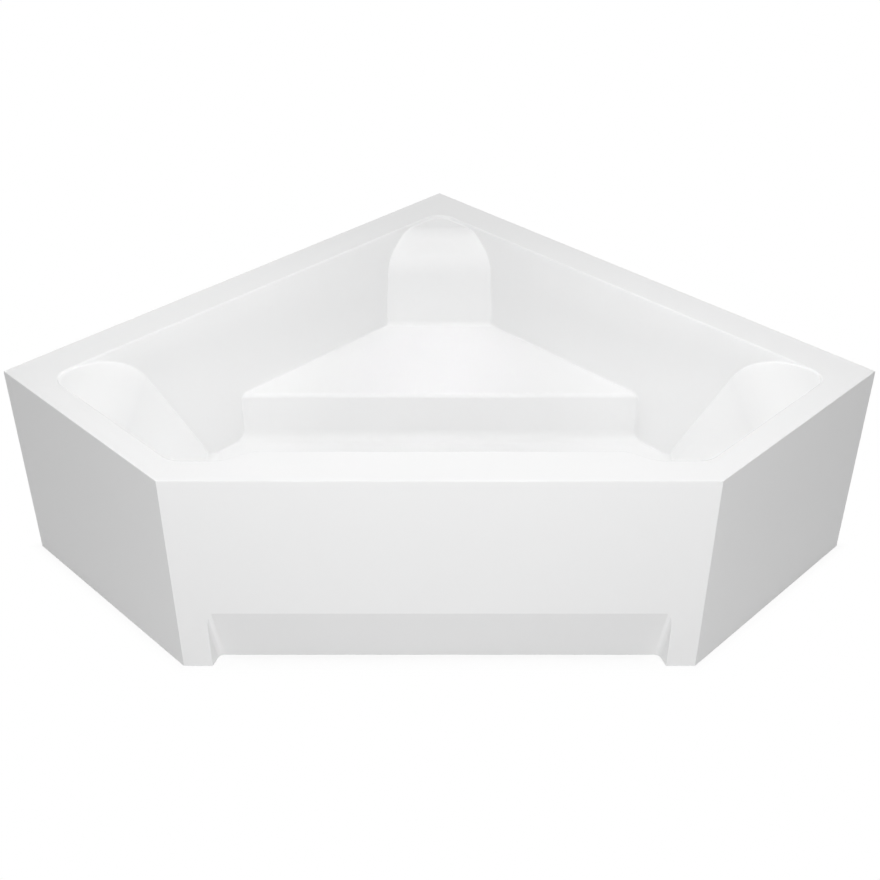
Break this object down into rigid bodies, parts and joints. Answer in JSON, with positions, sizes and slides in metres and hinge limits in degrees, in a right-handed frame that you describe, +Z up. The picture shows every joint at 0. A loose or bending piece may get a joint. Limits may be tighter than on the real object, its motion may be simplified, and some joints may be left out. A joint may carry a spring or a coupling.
{
  "type": "corner bathtub",
  "caption": "Pentagonal corner bathtub with a moulded corner seat, sloping backrests, a one-piece apron with a toe recess, a support frame on levelling feet and a pop-up waste.",
  "frame": {"origin": "centre of the bounding box, on the floor under the tub", "axes": "+Z up, +Y into the corner of the room, +X to the right of someone facing that corner"},
  "size_m": [1.9798, 1.4114, 0.51],
  "materials": {
    "acrylic": "glossy white sanitary acrylic",
    "laminate": "rough glass-fibre laminate",
    "timber": "sawn board and battens",
    "frame_steel": "galvanised steel tube",
    "stud_steel": "zinc-plated steel",
    "pad_plastic": "black moulded foot",
    "chrome": "polished chrome",
    "rubber": "black rubber",
    "waste_plastic": "white moulded plastic",
    "steel_small": "zinc-plated steel",
    "cable_sheath": "black cable sheath"
  },
  "bodies": {
    "tub": {"apron": "acrylic", "apron_brackets": "steel_small", "apron_screws": "steel_small", "base_board": "timber", "control_cable": "cable_sheath", "foot_nuts": "stud_steel", "frame_floor_rail_left": "frame_steel", "frame_floor_rail_right": "frame_steel", "frame_post_back": "frame_steel", "frame_post_front_left": "frame_steel", "frame_post_front_right": "frame_steel", "frame_post_left": "frame_steel", "frame_post_right": "frame_steel", "frame_rail_back_left": "frame_steel", "frame_rail_back_right": "frame_steel", "frame_rail_front": "frame_steel", "frame_rail_side_left": "frame_steel", "frame_rail_side_right": "frame_steel", "frame_seat_rail": "frame_steel", "frame_spine_rail": "frame_steel", "overflow_face": "chrome", "overflow_gasket": "rubber", "overflow_housing": "waste_plastic", "overflow_pipe": "waste_plastic", "pipe_clips": "waste_plastic", "rim_batten_back_left": "timber", "rim_batten_back_right": "timber", "rim_batten_front": "timber", "rim_batten_side_left": "timber", "rim_batten_side_right": "timber", "seat_board": "timber", "seat_struts": "frame_steel", "shell_backing": "laminate", "trap_cup": "waste_plastic", "trap_nut": "waste_plastic", "tub_shell": "acrylic", "wall_anchors": "steel_small", "waste_cup": "waste_plastic", "waste_flange": "chrome", "waste_gasket_lower": "rubber", "waste_gasket_upper": "rubber"},
    "foot_back": {"foot_stud_back": "stud_steel", "foot_pad_back": "pad_plastic"},
    "foot_left": {"foot_stud_left": "stud_steel", "foot_pad_left": "pad_plastic"},
    "foot_front_left": {"foot_stud_front_left": "stud_steel", "foot_pad_front_left": "pad_plastic"},
    "foot_front_right": {"foot_stud_front_right": "stud_steel", "foot_pad_front_right": "pad_plastic"},
    "foot_right": {"foot_stud_right": "stud_steel", "foot_pad_right": "pad_plastic"},
    "foot_middle": {"foot_stud_middle": "stud_steel", "foot_pad_middle": "pad_plastic"},
    "knob": {"overflow_knob": "chrome", "knob_spindle": "steel_small"},
    "plug": {"plug_cap": "chrome", "plug_seal": "rubber", "plug_stem": "waste_plastic"},
    "lever": {"lift_lever": "steel_small"}
  },
  "joints": [
    {"name": "level_back", "type": "slide", "parent": "tub", "child": "foot_back", "axis": [0, 0, 1], "range_m": [-0.01, 0.01]},
    {"name": "level_left", "type": "slide", "parent": "tub", "child": "foot_left", "axis": [0, 0, 1], "range_m": [-0.01, 0.01]},
    {"name": "level_front_left", "type": "slide", "parent": "tub", "child": "foot_front_left", "axis": [0, 0, 1], "range_m": [-0.01, 0.01]},
    {"name": "level_front_right", "type": "slide", "parent": "tub", "child": "foot_front_right", "axis": [0, 0, 1], "range_m": [-0.01, 0.01]},
    {"name": "level_right", "type": "slide", "parent": "tub", "child": "foot_right", "axis": [0, 0, 1], "range_m": [-0.01, 0.01]},
    {"name": "level_middle", "type": "slide", "parent": "tub", "child": "foot_middle", "axis": [0, 0, 1], "range_m": [-0.01, 0.01]},
    {"name": "knob_turn", "type": "hinge", "parent": "tub", "child": "knob", "pos_m": [0, -0.5945, 0.43], "axis": [0, 0.9986, 0.0523], "range_deg": [0, 90]},
    {"name": "plug_lift", "type": "slide", "parent": "tub", "child": "plug", "axis": [0, 0, 1], "range_m": [0, 0.01]},
    {"name": "lever_rock", "type": "hinge", "parent": "tub", "child": "lever", "pos_m": [0, -0.347, 0.063], "axis": [1, 0, 0], "range_deg": [0, 32]}
  ],
  "couplings": [
    {"joint": "plug_lift", "follows": "knob_turn", "m_per_rad": 0.006366},
    {"joint": "lever_rock", "follows": "knob_turn", "ratio": 0.35546}
  ]
}
